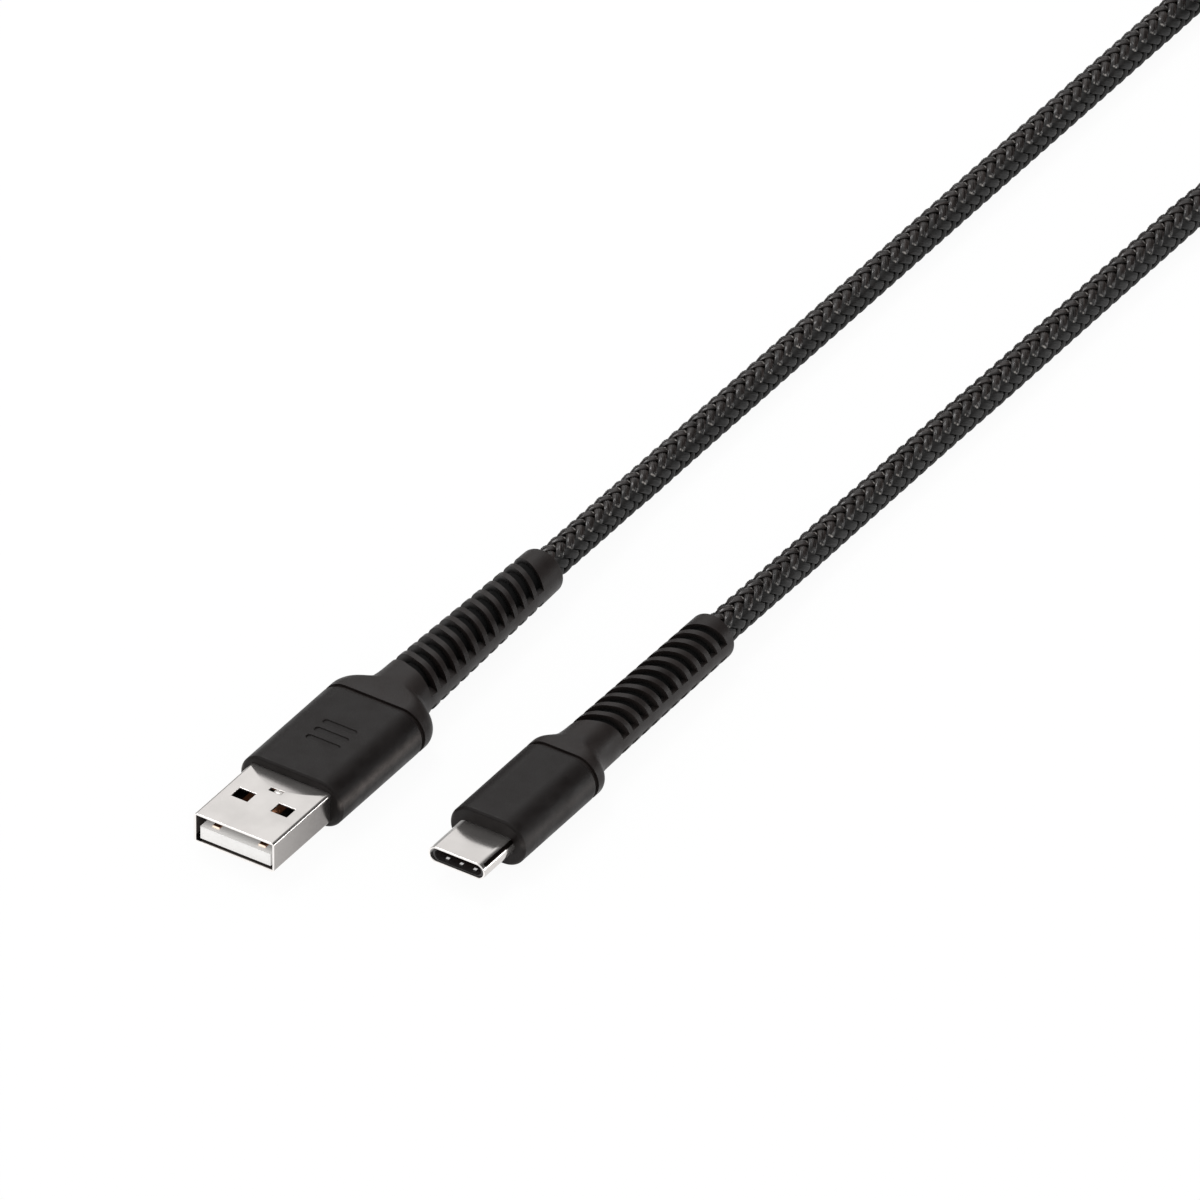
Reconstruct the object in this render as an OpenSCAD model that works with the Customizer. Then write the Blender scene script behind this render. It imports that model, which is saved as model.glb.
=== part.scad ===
// Charging cable: a USB-A plug and a USB-C plug on one braided cord, lying on a table.
// Millimetres. +Y runs from the plugs towards the cord, +X to the right, +Z up.
// The origin lies on the table, under the middle of the pair of plugs.
// Inside a plug's modules y is measured from the plug's tip and z from the plug's axis.

/* [Layout] */
// Distance between the two plugs' axes
plug_spacing = 25.7; // [24:0.1:30]
// How far the USB-C strain relief ends behind the USB-A one
usb_c_setback = 0.4; // [0:0.1:2]

/* [Cord] */
// Diameter over the braid
cord_d = 4.4; // [4:0.1:4.8]
// Diameter of the jacket under the braid
jacket_d = 3.4; // [3:0.1:3.6]
// Diameter of one insulated wire
wire_d = 0.7; // [0.5:0.05:0.7]

/* [Coil] */
// Centreline radius of the outermost turn
coil_r = 29; // [27:0.5:34]
// Gap between neighbouring turns and layers
coil_gap = 0.6; // [0.5:0.05:0.8]

/* [USB-A plug] */
// Width of the shell
a_shell_w = 12; // [11.8:0.1:12.2]
// Height of the shell
a_shell_h = 4.5; // [4.3:0.1:4.7]
// Sheet thickness of the shell
a_shell_t = 0.3; // [0.25:0.05:0.4]
// Length of shell in front of the head
a_shell_out = 12.8; // [12:0.1:14]
// Length of shell held inside the head
a_shell_in = 5.7; // [4:0.1:7]
// Width of each window in the shell
a_window_w = 2.5; // [2:0.1:3]
// Length of each window in the shell
a_window_l = 2; // [1.5:0.1:2.5]
// Distance from the mouth to the middle of the windows
a_window_y = 6.6; // [5.5:0.1:7.5]
// Distance between the middles of a pair of windows
a_window_gap = 6; // [5.5:0.1:6.5]
// Thickness of the contact tongue
a_tongue_h = 1.85; // [1.6:0.05:2]
// Gap between the contact tongue and each side wall
a_tongue_side = 0.35; // [0.1:0.05:0.6]
// Width of a contact
a_contact_w = 1; // [0.8:0.05:1.2]
// Thickness of a contact
a_contact_t = 0.35; // [0.2:0.05:0.4]
// Width of the head
a_head_w = 15.6; // [15:0.1:17]
// Height of the head
a_head_h = 7; // [6.8:0.1:7.6]
// Length of the head
a_head_l = 18.3; // [18:0.1:22]
// Length of the bars pressed into the head's top
a_bar_l = 5; // [3:0.1:6]

/* [USB-C plug] */
// Width of the shell
c_shell_w = 8.25; // [8.2:0.05:8.3]
// Height of the shell
c_shell_h = 2.4; // [2.3:0.05:2.5]
// Wall of the shell
c_shell_t = 0.25; // [0.2:0.01:0.26]
// Length of shell in front of the head
c_shell_out = 6.8; // [6.6:0.1:8]
// Length of shell held inside the head
c_shell_in = 4; // [3:0.1:4.5]
// Width of the mouth in the insulator
c_mouth_w = 7; // [6.9:0.05:7.1]
// Height of the mouth in the insulator
c_mouth_h = 1.6; // [1.5:0.05:1.64]
// Width of the head
c_head_w = 11.4; // [11:0.1:13]
// Height of the head
c_head_h = 6.8; // [6.6:0.1:7.4]
// Length of the head
c_head_l = 16.4; // [16:0.1:20]

/* [Strain reliefs] */
// Length of the USB-A strain relief behind its head
a_relief_l = 38.9; // [37:0.1:42]
// Length of the USB-C strain relief behind its head
c_relief_l = 35.2; // [33:0.1:38]
// Diameter of the USB-A cuff
a_cuff_d = 6.4; // [6.2:0.1:7]
// Diameter of the USB-C cuff
c_cuff_d = 6.6; // [6.2:0.1:7]
// Number of slots on each side of the USB-A strain relief
a_slots = 12; // [6:1:12]
// Number of slots on each side of the USB-C strain relief
c_slots = 11; // [6:1:11]
// Distance from one slot to the next
slot_pitch = 2.32; // [2:0.01:2.4]
// Width of a slot
slot_w = 1.2; // [0.9:0.05:1.3]
// Wall left round the cord at the bottom of a slot
slot_floor = 0.35; // [0.25:0.05:0.5]
// Height above the axis at which a slot ends
slot_ledge = 0.85; // [0.5:0.05:1.2]
// Width of the groove between the head and the strain relief
groove_w = 0.35; // [0.2:0.05:0.6]
// Depth of the groove between the head and the strain relief
groove_depth = 0.3; // [0.1:0.05:0.5]

/* [Heads] */
// Wall of the head
head_wall = 0.8; // [0.6:0.05:0.9]
// Thickness of the head's front, round the shell
head_front = 1.6; // [1:0.1:2]
// Bevel round the ends of a head
head_bevel = 0.3; // [0.1:0.05:0.5]
// How deep the strain relief reaches into the head
tenon_l = 2.2; // [1.5:0.1:2.5]

/* [Fits] */
// Clearance between parts that slide together
fit = 0.05; // [0.02:0.01:0.06]

/* [Hidden] */
$fn = 64;

plastic = "#2b2928";
rubber = "#333130";
steel = "#c9c9c7";
tin = "#a9a9a6";
gold = "#d1a04c";
white_plastic = "#ececea";
braid = "#262423";
eps = 0.01;
far = 40;

// Stations along each plug, from its tip
a_head_y = a_shell_out;
a_relief_y = a_head_y + a_head_l;
a_len = a_relief_y + a_relief_l;
c_head_y = c_shell_out;
c_relief_y = c_head_y + c_head_l;
c_len = c_relief_y + c_relief_l;
a_shell_l = a_shell_out + a_shell_in;
c_shell_l = c_shell_out + c_shell_in;

// The pair of plugs is centred on the origin and each head lies on the table
x_mid = (a_head_w - c_head_w) / 4;
a_x = x_mid - plug_spacing / 2;
c_x = x_mid + plug_spacing / 2;
y_tip = -(a_len + usb_c_setback) / 2;
a_place = [a_x, y_tip, a_head_h / 2];
c_place = [c_x, y_tip + a_len + usb_c_setback - c_len, c_head_h / 2];

// ---------------------------------------------------------------- shapes along y

module along_y(y0, y1) translate([0, y0, 0]) rotate([-90, 0, 0]) linear_extrude(y1 - y0) children();

module rod(d, y0, y1) translate([0, y0, 0]) rotate([-90, 0, 0]) cylinder(d = d, h = y1 - y0);

module block(w, h, y0, y1) translate([-w / 2, y0, -h / 2]) cube([w, y1 - y0, h]);

module stadium(w, h) {
  square([w - h, h], center = true);
  for (s = [-1, 1]) translate([s * (w - h) / 2, 0]) circle(d = h);
}

module rounded_rect(w, h, r) {
  square([w - 2 * r, h], center = true);
  square([w, h - 2 * r], center = true);
  for (x = [-1, 1], y = [-1, 1]) translate([x * (w / 2 - r), y * (h / 2 - r)]) circle(r);
}

// A stadium bar whose two ends are bevelled by b
module bevelled_bar(w, h, y0, y1, b) {
  flank = [[y0, h / 2 - b], [y0 + b, h / 2], [y1 - b, h / 2], [y1, h / 2 - b]];
  outline = concat(flank, [for (i = [3:-1:0]) [flank[i][0], -flank[i][1]]]);
  rotate([90, 0, 90]) translate([0, 0, -(w - h) / 2]) linear_extrude(w - h) polygon(outline);
  for (s = [-1, 1]) translate([s * (w - h) / 2, y0, 0]) rotate([-90, 0, 0])
    rotate_extrude() polygon([[0, 0], [h / 2 - b, 0], [h / 2, b], [h / 2, y1 - y0 - b],
      [h / 2 - b, y1 - y0], [0, y1 - y0]]);
}

// A straight wire from one point to another
module wire(from, to) {
  run = to - from;
  turn = [0, acos(run[2] / norm(run)), atan2(run[1], run[0])];
  translate(from) rotate(turn) cylinder(d = wire_d, h = norm(run));
}

// ---------------------------------------------------------------- swept tubes

function unit(v) = v / norm(v);

function heading(path, i) =
  unit(path[min(i + 1, len(path) - 1)] - path[max(i - 1, 0)]);

// One ring of a tube, square to the path; its first corner points down
function ring(path, i, r, sides) =
  let (ahead = heading(path, i), side = unit(cross(ahead, [0, 0, 1])), up = cross(side, ahead))
  [for (k = [0:sides - 1]) path[i] + r * (sin(360 * k / sides) * side - cos(360 * k / sides) * up)];

function start_cap(sides) = [for (k = [1:sides - 2]) [0, k + 1, k]];

function end_cap(first, sides) = [for (k = [1:sides - 2]) [first, first + k, first + k + 1]];

function skin(rings, sides) = concat(
  start_cap(sides),
  [for (i = [0:rings - 2], k = [0:sides - 1], half = [0, 1])
    let (a = i * sides + k, b = i * sides + (k + 1) % sides)
    half == 0 ? [a, b, a + sides] : [b, b + sides, a + sides]],
  end_cap((rings - 1) * sides, sides));

module tube(path, r, sides)
  polyhedron([for (i = [0:len(path) - 1]) each ring(path, i, r, sides)], skin(len(path), sides));

// ---------------------------------------------------------------- cord

lead_sides = 12;
table_z = cord_d / 2;

// Both leads leave their strain reliefs straight, settle on the table and run to the coil
lead_a_route = [
  [-11.8, 34.8, 3.5], [-11.8, 41, 3.5], [-12, 47, 3.2], [-12.4, 53, 2.7], [-12.6, 59, 2.3],
  [-12.7, 65, 2.2], [-12.7, 77, 2.2], [-12.7, 89, 2.2], [-12.7, 101, 2.2], [-12.7, 113, 2.2],
  [-12.7, 125, 2.2], [-12.7, 137, 2.2], [-12.7, 149, 2.2], [-12.7, 161, 2.2], [-12.7, 173, 2.2],
  [-12.7, 185, 2.2], [-12.9, 191, 2.2], [-14.2, 197, 2.2], [-16.4, 203, 2.2], [-18.8, 209, 2.2],
  [-20.6, 214, 2.2], [-21, 217, 2.2], [-21, 219, 2.2]];
lead_c_route = [
  [37, 219, 7.2], [37, 216, 7.2], [36.8, 210, 6.4], [35.8, 204, 4.8], [33.8, 198, 3.1],
  [31.1, 192, 2.3], [27.9, 186, 2.2], [24.5, 180, 2.2], [21.2, 174, 2.2], [18.1, 168, 2.2],
  [15.7, 162, 2.2], [14, 156, 2.2], [13.3, 149, 2.2], [13.2, 137, 2.2], [13.2, 125, 2.2],
  [13.2, 113, 2.2], [13.2, 101, 2.2], [13.1, 89, 2.2], [13.1, 77, 2.2], [13.1, 65, 2.2],
  [13.2, 59, 2.3], [13.4, 53, 2.6], [13.7, 47, 3.1], [13.9, 41.4, 3.4], [13.9, 35.2, 3.4]];

// The coil spirals in on the table, climbs a layer where it reverses and spirals out on top
coil_middle = [8, 224];
coil_turns = 4.5;
coil_rings = 24;
coil_sides = 6;
coil_run = 5;
coil_pitch = cord_d + coil_gap;

function smooth(u) = let (v = max(0, min(1, u))) v * v * (3 - 2 * v);

// Point of the coil after t turns; it starts at the left and runs clockwise
function coil_point(t) =
  let (from_middle = t - coil_turns / 2,
    r = coil_r - coil_pitch * (coil_turns / 2 - abs(from_middle)),
    z = table_z + coil_pitch * smooth(2 * from_middle + 0.5))
  [coil_middle[0] - r * cos(360 * t), coil_middle[1] + r * sin(360 * t), z];

coil_loops = [for (i = [0:coil_turns * coil_rings]) coil_point(i / coil_rings)];
coil_path = concat([coil_point(0) - [0, coil_run, 0]], coil_loops,
  [coil_point(coil_turns) - [0, coil_run, 0]]);

// Least gap of the coil to itself, over all pairs of rings half a turn or more apart
coil_least_gap = min([for (i = [0:len(coil_loops) - 1])
  min([for (j = [i:len(coil_loops) - 1])
    j - i < coil_rings / 2 ? far : norm(coil_loops[i] - coil_loops[j]) - cord_d])]);
echo(coil_least_gap = coil_least_gap);

module cord_lead_a() color(braid) tube(lead_a_route, cord_d / 2, lead_sides);

module cord_lead_c() color(braid) tube(lead_c_route, cord_d / 2, lead_sides);

module cord_coil() color(braid) tube(coil_path, cord_d / 2, coil_sides);

// ---------------------------------------------------------------- strain reliefs

loft_sides = 48;
arc_steps = 5;
cuff_round = 0.4;
dome_start = 1.5;

// Where the shoulder's dome ends in a crease, and where the tapered sleeve starts:
// [distance behind the head, half width, half height]
a_crease = [4.2, 5.05, 3.45];
a_sleeve = [8.2, 4.2, 3.4];
c_crease = [2.9, 4.6, 3.35];
c_sleeve = [6.8, 3.68, 3.3];

// Angle of the first and the last slot across the sleeve, seen from above
a_slot_turn = [-17, -22];
c_slot_turn = [21.5, 17];
// Distance from the last slot's middle to the end of the cuff
a_slot_end = 4.1;
c_slot_end = 3.4;

// Points of a stadium outline of half width a and half height b, at station y
function outline(y, a, b) =
  [for (k = [0:loft_sides - 1])
    let (turn = (k + 0.5) * 360 / loft_sides, side = cos(turn) > 0 ? 1 : -1)
    [side * max(0, a - b) + min(a, b) * cos(turn), y, b * sin(turn)]];

// Stations of the outer skin: collar, convex dome, concave flare, tapered sleeve, rounded cuff
function relief_stations(head_w, head_h, crease, sleeve, cuff_d, l) = concat(
  [[groove_w, head_w / 2, head_h / 2]],
  [for (i = [0:arc_steps]) let (turn = 90 * i / arc_steps)
    [dome_start + (crease[0] - dome_start) * sin(turn),
      crease[1] + (head_w / 2 - crease[1]) * cos(turn),
      crease[2] + (head_h / 2 - crease[2]) * cos(turn)]],
  [for (i = [1:arc_steps]) let (turn = 90 * i / arc_steps)
    [crease[0] + (sleeve[0] - crease[0]) * (1 - cos(turn)),
      sleeve[1] + (crease[1] - sleeve[1]) * (1 - sin(turn)),
      sleeve[2] + (crease[2] - sleeve[2]) * (1 - sin(turn))]],
  [for (turn = [0:30:90]) let (r = cuff_d / 2 - cuff_round * (1 - cos(turn)))
    [l - cuff_round * (1 - sin(turn)), r, r]]);

module relief_skin(stations) {
  points = [for (s = stations) each outline(s[0], s[1], s[2])];
  polyhedron(points, skin(len(stations), loft_sides));
}

module relief_slots(slots, last, turns) {
  for (i = [0:slots - 1], side = [-1, 1])
    translate([0, last - (slots - 1 - i) * slot_pitch, side * (slot_ledge + far / 2)])
      rotate([0, 0, turns[0] + (turns[1] - turns[0]) * i / (slots - 1)])
        cube([far, slot_w, far], center = true);
}

// The whole relief: a tenon in the head, the groove's floor, the skin with its slots, the bore
module relief(head_w, head_h, crease, sleeve, cuff_d, l, slots, slot_end, turns) {
  cavity_w = head_w - 2 * head_wall;
  cavity_h = head_h - 2 * head_wall;
  difference() {
    union() {
      difference() {
        relief_skin(relief_stations(head_w, head_h, crease, sleeve, cuff_d, l));
        difference() {
          relief_slots(slots, l - slot_end, turns);
          rod(cord_d + 2 * slot_floor, -eps, l + eps);
        }
      }
      along_y(0, 2 * groove_w) stadium(head_w - 2 * groove_depth, head_h - 2 * groove_depth);
      along_y(-tenon_l, groove_w) stadium(cavity_w - 2 * fit, cavity_h - 2 * fit);
    }
    rod(jacket_d, -tenon_l - eps, l);
    rod(cord_d, groove_w, l + eps);
  }
}

module usb_a_strain_relief() color(rubber) translate(a_place + [0, a_relief_y, 0])
  relief(a_head_w, a_head_h, a_crease, a_sleeve, a_cuff_d, a_relief_l, a_slots, a_slot_end,
    a_slot_turn);

module usb_c_strain_relief() color(rubber) translate(c_place + [0, c_relief_y, 0])
  relief(c_head_w, c_head_h, c_crease, c_sleeve, c_cuff_d, c_relief_l, c_slots, c_slot_end,
    c_slot_turn);

// ---------------------------------------------------------------- cord ends in the plugs

clamp_l = 2.4;
clamp_t = 0.3;
clamp_gap = 0.4;
jacket_in = tenon_l + clamp_gap + clamp_l;

// The jacket starts in the clamp and the braid at the groove
module cord_end(relief_y, l) {
  rod(jacket_d, relief_y - jacket_in, relief_y + groove_w + eps);
  rod(cord_d, relief_y + groove_w, l);
}

module cable_clamp(relief_y) difference() {
  rod(jacket_d + 2 * clamp_t, relief_y - jacket_in, relief_y - jacket_in + clamp_l);
  rod(jacket_d, relief_y - far, relief_y);
}

module cord_end_a() color(braid) translate(a_place) cord_end(a_relief_y, a_len);

module cord_end_c() color(braid) translate(c_place) cord_end(c_relief_y, c_len);

module usb_a_cable_clamp() color(tin) translate(a_place) cable_clamp(a_relief_y);

module usb_c_cable_clamp() color(tin) translate(c_place) cable_clamp(c_relief_y);

// ---------------------------------------------------------------- heads

bar_w = 0.9;
bar_pitch = 1.9;
bar_depth = 0.2;

module head(w, h, y0, y1) difference() {
  bevelled_bar(w, h, y0, y1, head_bevel);
  along_y(y0 + head_front, y1 + eps) stadium(w - 2 * head_wall, h - 2 * head_wall);
  children();
}

// Three plain bars mark the USB-A head's top, which faces up as the tongue faces down
module grip_bars() for (i = [-1:1])
  translate([0, a_head_y + a_head_l / 2 + i * bar_pitch, a_head_h / 2 - bar_depth])
    linear_extrude(bar_depth + eps) stadium(a_bar_l, bar_w);

module usb_a_head() color(plastic) translate(a_place)
  head(a_head_w, a_head_h, a_head_y, a_relief_y) {
    along_y(a_head_y - eps, a_shell_l) rounded_rect(a_shell_w, a_shell_h, a_corner_r);
    grip_bars();
  }

module usb_c_head() color(plastic) translate(c_place)
  head(c_head_w, c_head_h, c_head_y, c_relief_y)
    along_y(c_head_y - eps, c_shell_l) stadium(c_shell_w, c_shell_h);

// The mould under the head, from the head's front to the relief's tenon, cast round what it holds
module inner_mould(w, h, head_y, relief_y) difference() {
  along_y(head_y + head_front, relief_y - tenon_l)
    stadium(w - 2 * head_wall - 2 * fit, h - 2 * head_wall - 2 * fit);
  children();
}

// ---------------------------------------------------------------- USB-A front end

a_corner_r = 0.4;
a_tongue_y = 0.3;
a_tongue_gap = 0.3;
a_block_y = 10.5;
a_tail_l = 1.6;
a_power_x = 3.5;
a_data_x = 1;
a_power_y = 1.1;
a_data_y = 2.2;
a_inner_w = a_shell_w - 2 * a_shell_t;
a_inner_h = a_shell_h - 2 * a_shell_t;
a_tongue_w = a_inner_w - 2 * a_tongue_side;
a_tongue_z = -a_inner_h / 2 + a_tongue_gap;
a_contact_z = a_tongue_z + a_tongue_h;
// The contact lies in a channel of this depth and stands proud of the tongue
a_channel = 0.15;
a_notch = [1.9, 0.7];
a_notch_y = 9.5;

module usb_a_shell() color(steel) translate(a_place) difference() {
  along_y(0, a_shell_l) rounded_rect(a_shell_w, a_shell_h, a_corner_r);
  along_y(-eps, a_shell_l + eps) rounded_rect(a_inner_w, a_inner_h, a_corner_r - a_shell_t);
  for (s = [-1, 1]) translate([s * a_window_gap / 2, a_window_y, 0])
    cube([a_window_w, a_window_l, far], center = true);
  translate([-a_notch[0] / 2, a_notch_y - a_notch[1] / 2, 0]) cube([a_notch[1], a_notch[1], far]);
}

module a_contact(x, y) translate([x - a_contact_w / 2, y, a_contact_z - a_channel])
  cube([a_contact_w, a_shell_l + a_tail_l - y, a_contact_t]);

module usb_a_tongue() color(white_plastic) translate(a_place) difference() {
  union() {
    translate([-a_tongue_w / 2, a_tongue_y, a_tongue_z])
      cube([a_tongue_w, a_block_y - a_tongue_y + eps, a_tongue_h]);
    along_y(a_block_y, a_shell_l) rounded_rect(a_inner_w - 2 * fit, a_inner_h - 2 * fit,
      a_corner_r - a_shell_t);
  }
  for (x = [-1, 1]) {
    a_contact(x * a_power_x, a_power_y);
    a_contact(x * a_data_x, a_data_y);
  }
}

module usb_a_power_contact() color(gold) translate(a_place) a_contact(a_power_x, a_power_y);

module usb_a_data_minus_contact() color(gold) translate(a_place) a_contact(a_data_x, a_data_y);

module usb_a_data_plus_contact() color(gold) translate(a_place) a_contact(-a_data_x, a_data_y);

module usb_a_ground_contact() color(gold) translate(a_place) a_contact(-a_power_x, a_power_y);

// Each wire runs from the solder on a contact's tail to just short of the jacket
wire_ring = 0.6;
wire_short = 0.2;
solder = 0.12;
a_wire_y = a_shell_l + a_tail_l - 0.4;
a_wire_z = a_contact_z - a_channel + a_contact_t + wire_d / 2 + solder;
a_wire_end = a_relief_y - jacket_in;

module a_wire(x, side, level) wire([x, a_wire_y, a_wire_z],
  [side * wire_ring, a_wire_end - wire_short, level * wire_ring]);

module a_red() a_wire(a_power_x, 1, 1);

module a_white() a_wire(a_data_x, 1, -1);

module a_green() a_wire(-a_data_x, -1, -1);

module a_black() a_wire(-a_power_x, -1, 1);

module usb_a_red_wire() color("red") translate(a_place) a_red();

module usb_a_white_wire() color("white") translate(a_place) a_white();

module usb_a_green_wire() color("green") translate(a_place) a_green();

module usb_a_black_wire() color("black") translate(a_place) a_black();

module usb_a_inner_mould() color(white_plastic) translate(a_place)
  inner_mould(a_head_w, a_head_h, a_head_y, a_relief_y) {
    along_y(a_head_y, a_shell_l) rounded_rect(a_shell_w, a_shell_h, a_corner_r);
    for (x = [-1, 1]) {
      a_contact(x * a_power_x, a_power_y);
      a_contact(x * a_data_x, a_data_y);
    }
    a_red();
    a_white();
    a_green();
    a_black();
    rod(jacket_d + 2 * clamp_t, a_wire_end - wire_short, a_relief_y);
  }

// ---------------------------------------------------------------- USB-C front end

c_lip = 0.25;
c_mouth_l = 6.8;
c_insulator_l = 9.6;
c_contacts = 12;
c_contact_pitch = 0.5;
c_contact_w = 0.25;
c_contact_t = 0.15;
c_contact_y = 1.9;
c_contact_tail = 1;
c_board = [7, 6.2, 0.8];
c_board_y = c_insulator_l + 0.1;
c_latch_t = 0.3;
c_latch_w = 0.3;
c_latch_y = 1.6;
c_hook = 0.35;
c_spring = [5.6, 4, 0.06];
c_spring_y = 0.8;
c_dot = [0.45, 0.4, 0.12];
c_dot_pitch = 2.07;
c_dot_y = 1.1;
c_resistor = [1, 0.5, 0.35];
c_can_t = 0.2;
c_can_y = 9.7;
c_inner_w = c_shell_w - 2 * c_shell_t;
c_inner_h = c_shell_h - 2 * c_shell_t;
c_can_w = c_shell_w + 2 * fit + 2 * c_can_t;
c_can_h = c_shell_h + 2 * fit + 2 * c_can_t;
c_can_l = c_board_y + c_board[1] + 0.3;

module usb_c_shell() color(steel) translate(c_place) difference() {
  along_y(0, c_shell_l) stadium(c_shell_w, c_shell_h);
  along_y(-eps, c_shell_l + eps) stadium(c_inner_w, c_inner_h);
}

// One row of contacts; level 1 is the upper row and -1 the lower
module c_contact_row(level) for (i = [0:c_contacts - 1])
  translate([(i - (c_contacts - 1) / 2) * c_contact_pitch, c_contact_y,
      level * (c_board[2] + c_contact_t) / 2])
    translate([0, (c_board_y + c_contact_tail - c_contact_y) / 2, 0])
      cube([c_contact_w, c_board_y + c_contact_tail - c_contact_y, c_contact_t], center = true);

// The latch is one sheet in the middle plane: two hooked arms and the web that joins them
module c_latch() {
  arm_x = c_mouth_w / 2 - c_latch_w - fit;
  for (s = [-1, 1]) {
    translate([s * (arm_x + c_latch_w / 2) - c_latch_w / 2, c_latch_y, -c_latch_t / 2])
      cube([c_latch_w, c_insulator_l - c_latch_y, c_latch_t]);
    translate([s * (arm_x - c_hook / 2) - c_hook / 2 - eps, c_latch_y, -c_latch_t / 2])
      cube([c_hook + 2 * eps, c_hook, c_latch_t]);
  }
  translate([-arm_x - eps, c_mouth_l + c_hook, -c_latch_t / 2])
    cube([2 * arm_x + 2 * eps, c_insulator_l - c_mouth_l - 2 * c_hook, c_latch_t]);
}

// A plate in a pocket outside the insulator, with three tips that reach into the mouth
module c_ground_spring(level) {
  translate([0, c_spring_y + c_spring[1] / 2, level * (c_inner_h / 2 - fit - c_spring[2] / 2)])
    cube(c_spring, center = true);
  for (i = [-1:1])
    translate([i * c_dot_pitch, c_dot_y, level * (c_mouth_h / 2)])
      cube([c_dot[0], c_dot[1], 2 * c_dot[2]], center = true);
}

module usb_c_insulator() color(plastic) translate(c_place) difference() {
  along_y(c_lip, c_insulator_l) stadium(c_inner_w - 2 * fit, c_inner_h - 2 * fit);
  along_y(0, c_mouth_l) stadium(c_mouth_w, c_mouth_h);
  for (level = [-1, 1]) {
    c_contact_row(level);
    c_ground_spring(level);
  }
  c_latch();
}

module usb_c_upper_contacts() color(gold) translate(c_place) c_contact_row(1);

module usb_c_lower_contacts() color(gold) translate(c_place) c_contact_row(-1);

module usb_c_latch() color(steel) translate(c_place) c_latch();

module usb_c_upper_ground_spring() color(steel) translate(c_place) c_ground_spring(1);

module usb_c_lower_ground_spring() color(steel) translate(c_place) c_ground_spring(-1);

module c_board() translate([0, c_board_y + c_board[1] / 2, 0]) cube(c_board, center = true);

module c_resistor() translate([0, c_board_y + c_board[1] / 2, (c_board[2] + c_resistor[2]) / 2])
  cube(c_resistor, center = true);

module usb_c_paddle_board() color("#1d5b3a") translate(c_place) c_board();

module usb_c_resistor() color("#3a3a44") translate(c_place) c_resistor();

module usb_c_shield_can() color(tin) translate(c_place) difference() {
  along_y(c_can_y, c_can_l) stadium(c_can_w, c_can_h);
  along_y(c_can_y - eps, c_can_l + eps) stadium(c_can_w - 2 * c_can_t, c_can_h - 2 * c_can_t);
}

// Two wires are soldered on top of the board and two below
c_wire_x = 2;
c_wire_y = c_board_y + c_board[1] - 1;
c_wire_z = (c_board[2] + wire_d) / 2 + solder;
c_wire_end = c_relief_y - jacket_in;

module c_wire(side, level) wire([side * c_wire_x, c_wire_y, level * c_wire_z],
  [side * wire_ring, c_wire_end - wire_short, level * wire_ring]);

module usb_c_red_wire() color("red") translate(c_place) c_wire(1, 1);

module usb_c_white_wire() color("white") translate(c_place) c_wire(1, -1);

module usb_c_green_wire() color("green") translate(c_place) c_wire(-1, -1);

module usb_c_black_wire() color("black") translate(c_place) c_wire(-1, 1);

module usb_c_inner_mould() color(white_plastic) translate(c_place)
  inner_mould(c_head_w, c_head_h, c_head_y, c_relief_y) {
    along_y(c_head_y, c_can_y) stadium(c_shell_w, c_shell_h);
    along_y(c_can_y, c_can_l) stadium(c_can_w, c_can_h);
    for (side = [-1, 1], level = [-1, 1]) c_wire(side, level);
    rod(jacket_d + 2 * clamp_t, c_wire_end - wire_short, c_relief_y);
  }

// ---------------------------------------------------------------- nodes

usb_a_shell();
usb_a_tongue();
usb_a_power_contact();
usb_a_data_minus_contact();
usb_a_data_plus_contact();
usb_a_ground_contact();
usb_a_red_wire();
usb_a_white_wire();
usb_a_green_wire();
usb_a_black_wire();
usb_a_cable_clamp();
usb_a_inner_mould();
usb_a_head();
usb_a_strain_relief();
usb_c_shell();
usb_c_insulator();
usb_c_upper_contacts();
usb_c_lower_contacts();
usb_c_latch();
usb_c_upper_ground_spring();
usb_c_lower_ground_spring();
usb_c_paddle_board();
usb_c_resistor();
usb_c_shield_can();
usb_c_red_wire();
usb_c_white_wire();
usb_c_green_wire();
usb_c_black_wire();
usb_c_cable_clamp();
usb_c_inner_mould();
usb_c_head();
usb_c_strain_relief();
cord_end_a();
cord_end_c();
cord_lead_a();
cord_coil();
cord_lead_c();
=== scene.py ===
import math

import bmesh
import bpy
import numpy as np
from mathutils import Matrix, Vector


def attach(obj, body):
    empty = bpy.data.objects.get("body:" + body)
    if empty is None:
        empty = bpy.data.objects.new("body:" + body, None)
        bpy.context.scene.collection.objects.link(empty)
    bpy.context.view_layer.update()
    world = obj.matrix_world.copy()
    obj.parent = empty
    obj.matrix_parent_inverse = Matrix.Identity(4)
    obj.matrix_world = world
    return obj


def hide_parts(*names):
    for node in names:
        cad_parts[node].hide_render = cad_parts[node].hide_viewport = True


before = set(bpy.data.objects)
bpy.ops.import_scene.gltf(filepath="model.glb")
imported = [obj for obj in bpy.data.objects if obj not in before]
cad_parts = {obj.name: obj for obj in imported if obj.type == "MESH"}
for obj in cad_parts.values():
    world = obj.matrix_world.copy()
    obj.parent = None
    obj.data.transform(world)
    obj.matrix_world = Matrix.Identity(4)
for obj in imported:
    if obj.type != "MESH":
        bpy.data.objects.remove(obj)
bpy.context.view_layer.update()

mm = 0.001
scene = bpy.context.scene
scene.view_settings.view_transform = "Standard"


def addObject(name, data):
    piece = bpy.data.objects.new(name, data)
    scene.collection.objects.link(piece)
    return piece


def addMesh(name, corners, edges, faces):
    mesh = bpy.data.meshes.new(name)
    mesh.from_pydata(corners, edges, faces)
    return addObject(name, mesh)


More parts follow.
